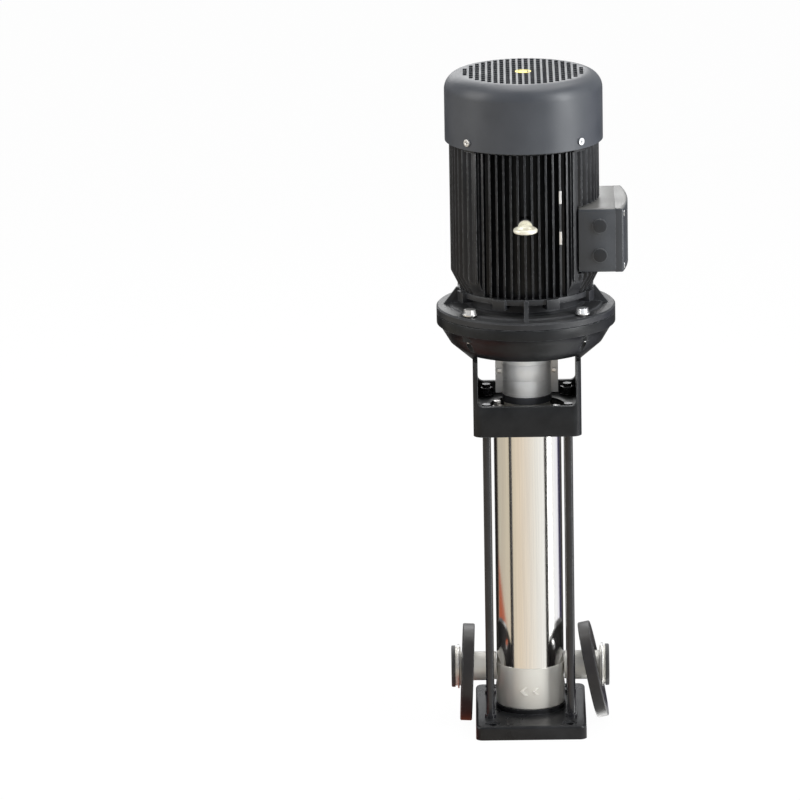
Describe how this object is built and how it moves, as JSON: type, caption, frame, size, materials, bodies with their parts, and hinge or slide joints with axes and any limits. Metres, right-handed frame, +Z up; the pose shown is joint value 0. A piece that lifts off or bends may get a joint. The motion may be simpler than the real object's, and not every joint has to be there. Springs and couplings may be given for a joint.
{
  "type": "vertical multistage pump",
  "caption": "Vertical multistage pump: flange-mounted finned motor on a windowed stool, polished sleeve column with stay bolts, in-line ports with loose flanges.",
  "frame": {"origin": "centre of the base plate's underside, on the shaft's axis", "axes": "+Z up along the shaft; +X along the port line towards the discharge side and the motor's terminal box; -Y the front"},
  "size_m": [0.322, 0.3396, 1.125],
  "materials": {
    "cast_black": "black painted cast iron",
    "flange_black": "black coated iron",
    "motor_black": "black painted aluminium casting",
    "cowl_black": "black painted sheet",
    "cast_stainless": "blasted stainless casting",
    "sleeve_steel": "polished stainless sheet",
    "guard_steel": "bright stainless sheet",
    "rod_steel": "dark coated steel",
    "bright_fasteners": "zinc plated",
    "eye_zinc": "zinc plated forging",
    "stainless_parts": "stainless steel",
    "seal_black": "dark coated",
    "coupling_iron": "machined iron",
    "rubber_rings": "soft black",
    "cap_plastic": "dark moulded",
    "plug_plastic": "dark moulded",
    "fan_plastic": "moulded",
    "block_plastic": "moulded",
    "core_steel": "bare steel",
    "winding_copper": "varnished copper"
  },
  "bodies": {
    "pump": {"base_plate": "cast_black", "motor_stool": "cast_black", "flange_shield": "motor_black", "motor_frame": "motor_black", "rear_shield": "motor_black", "terminal_box": "motor_black", "terminal_lid": "motor_black", "fan_cowl": "cowl_black", "base_casting": "cast_stainless", "pump_head": "cast_stainless", "outer_sleeve": "sleeve_steel", "guard_front": "guard_steel", "guard_rear": "guard_steel", "stay_bolts": "rod_steel", "stay_nuts": "rod_steel", "stay_washers": "rod_steel", "flange_bolts": "bright_fasteners", "guard_screws": "bright_fasteners", "cowl_screws": "bright_fasteners", "lid_screws": "bright_fasteners", "seal_screws": "bright_fasteners", "eyebolts": "eye_zinc", "drain_plug": "stainless_parts", "vent_plug": "stainless_parts", "fill_plug": "stainless_parts", "lock_rings": "stainless_parts", "inlet_guide": "stainless_parts", "chambers": "stainless_parts", "top_guide": "stainless_parts", "stack_straps": "stainless_parts", "seal_cover": "seal_black", "seal_seat": "seal_black", "sleeve_rings": "rubber_rings", "entry_plugs": "plug_plastic", "terminal_block": "block_plastic", "stator_core": "core_steel", "bearing_lower": "core_steel", "bearing_upper": "core_steel", "stator_windings": "winding_copper"},
    "rotor": {"pump_shaft": "stainless_parts", "impeller_1": "stainless_parts", "impeller_2": "stainless_parts", "impeller_3": "stainless_parts", "impeller_4": "stainless_parts", "impeller_5": "stainless_parts", "impeller_6": "stainless_parts", "impeller_7": "stainless_parts", "seal_ring": "seal_black", "coupling_half_front": "coupling_iron", "coupling_half_rear": "coupling_iron", "coupling_screws": "bright_fasteners", "coupling_pin": "bright_fasteners", "motor_shaft": "core_steel", "rotor_core": "core_steel", "cooling_fan": "fan_plastic"},
    "flange_left": {"port_flange_left": "flange_black"},
    "flange_right": {"port_flange_right": "flange_black"},
    "cap_left": {"port_cap_left": "cap_plastic"},
    "cap_right": {"port_cap_right": "cap_plastic"},
    "vent": {"vent_screw": "stainless_parts"}
  },
  "joints": [
    {"name": "shaft_spin", "type": "hinge", "parent": "pump", "child": "rotor", "pos_m": [0, 0, 0], "axis": [0, 0, 1], "continuous": true},
    {"name": "left_flange_swivel", "type": "hinge", "parent": "pump", "child": "flange_left", "pos_m": [-0.107, 0, 0.08377], "axis": [-0.999, 0, 0.0436], "continuous": true},
    {"name": "right_flange_swivel", "type": "hinge", "parent": "pump", "child": "flange_right", "pos_m": [0.107, 0, 0.08601], "axis": [0.9799, 0, 0.1994], "continuous": true},
    {"name": "left_cap_pull", "type": "slide", "parent": "pump", "child": "cap_left", "axis": [-1, 0, 0], "range_m": [0, 0.02]},
    {"name": "right_cap_pull", "type": "slide", "parent": "pump", "child": "cap_right", "axis": [1, 0, 0], "range_m": [0, 0.02]},
    {"name": "vent_screw_turn", "type": "hinge", "parent": "pump", "child": "vent", "pos_m": [-0.05041, -0.01638, 0.54], "axis": [0, 0, 1], "range_deg": [0, 720]}
  ]
}
